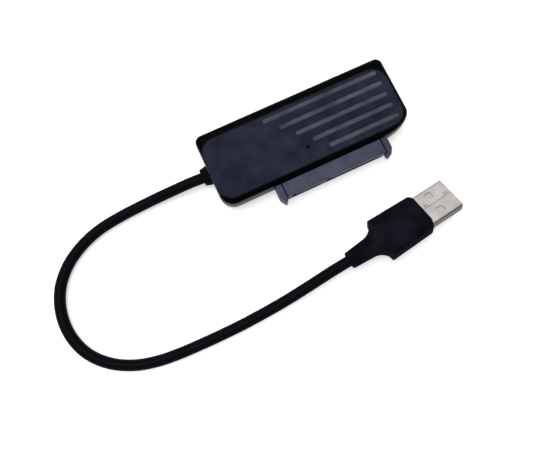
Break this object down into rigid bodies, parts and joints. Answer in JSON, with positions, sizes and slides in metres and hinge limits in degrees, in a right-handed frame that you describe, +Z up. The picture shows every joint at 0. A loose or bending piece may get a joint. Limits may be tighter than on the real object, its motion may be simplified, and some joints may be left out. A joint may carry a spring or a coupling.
{
  "type": "usb to sata adapter",
  "caption": "Slim box that joins a SATA drive to a USB port: a drive receptacle with guide arms on one long side, and a short captive cord to a USB plug.",
  "frame": {"origin": "centre of the housing's bottom face", "axes": "+X along the housing, away from the cord; the drive receptacle faces -Y; +Z up, through the grooved top face"},
  "size_m": [0.1384, 0.0666, 0.0113],
  "materials": {
    "shell_plastic": "fine moulded texture, satin",
    "connector_plastic": "moulded, satin",
    "cord_rubber": "soft matte jacket and overmould",
    "board_laminate": "solder mask over glass laminate",
    "chip_epoxy": "matte moulding epoxy",
    "contact_metal": "gold plated spring bronze",
    "plated_steel": "nickel plated sheet, soft sheen",
    "ceramic": "tan ceramic",
    "lamp_lens": "clear epoxy",
    "tongue_plastic": "white moulded plastic",
    "wire_red": "soft insulation",
    "wire_white": "soft insulation",
    "wire_green": "soft insulation",
    "wire_black": "soft insulation"
  },
  "bodies": {
    "root": {"top_cover": "shell_plastic", "bottom_cover": "shell_plastic", "sata_receptacle": "connector_plastic", "circuit_board": "board_laminate", "bridge_chip": "chip_epoxy", "voltage_regulator": "chip_epoxy", "crystal": "plated_steel", "indicator_led": "lamp_lens", "cable_gland": "cord_rubber", "cable": "cord_rubber", "plug_grip": "cord_rubber", "plug_shell": "plated_steel", "plug_insulator": "tongue_plastic", "wire_red": "wire_red", "wire_white": "wire_white", "wire_green": "wire_green", "wire_black": "wire_black", "signal_contact_1": "contact_metal", "signal_contact_2": "contact_metal", "signal_contact_3": "contact_metal", "signal_contact_4": "contact_metal", "signal_contact_5": "contact_metal", "signal_contact_6": "contact_metal", "signal_contact_7": "contact_metal", "power_contact_1": "contact_metal", "power_contact_2": "contact_metal", "power_contact_3": "contact_metal", "power_contact_4": "contact_metal", "power_contact_5": "contact_metal", "power_contact_6": "contact_metal", "power_contact_7": "contact_metal", "power_contact_8": "contact_metal", "power_contact_9": "contact_metal", "power_contact_10": "contact_metal", "power_contact_11": "contact_metal", "power_contact_12": "contact_metal", "power_contact_13": "contact_metal", "power_contact_14": "contact_metal", "power_contact_15": "contact_metal", "plug_contact_1": "contact_metal", "plug_contact_2": "contact_metal", "plug_contact_3": "contact_metal", "plug_contact_4": "contact_metal", "capacitor_1": "ceramic", "capacitor_2": "ceramic", "capacitor_3": "ceramic", "capacitor_4": "ceramic", "resistor_1": "chip_epoxy", "resistor_2": "chip_epoxy", "resistor_3": "chip_epoxy"}
  },
  "joints": []
}
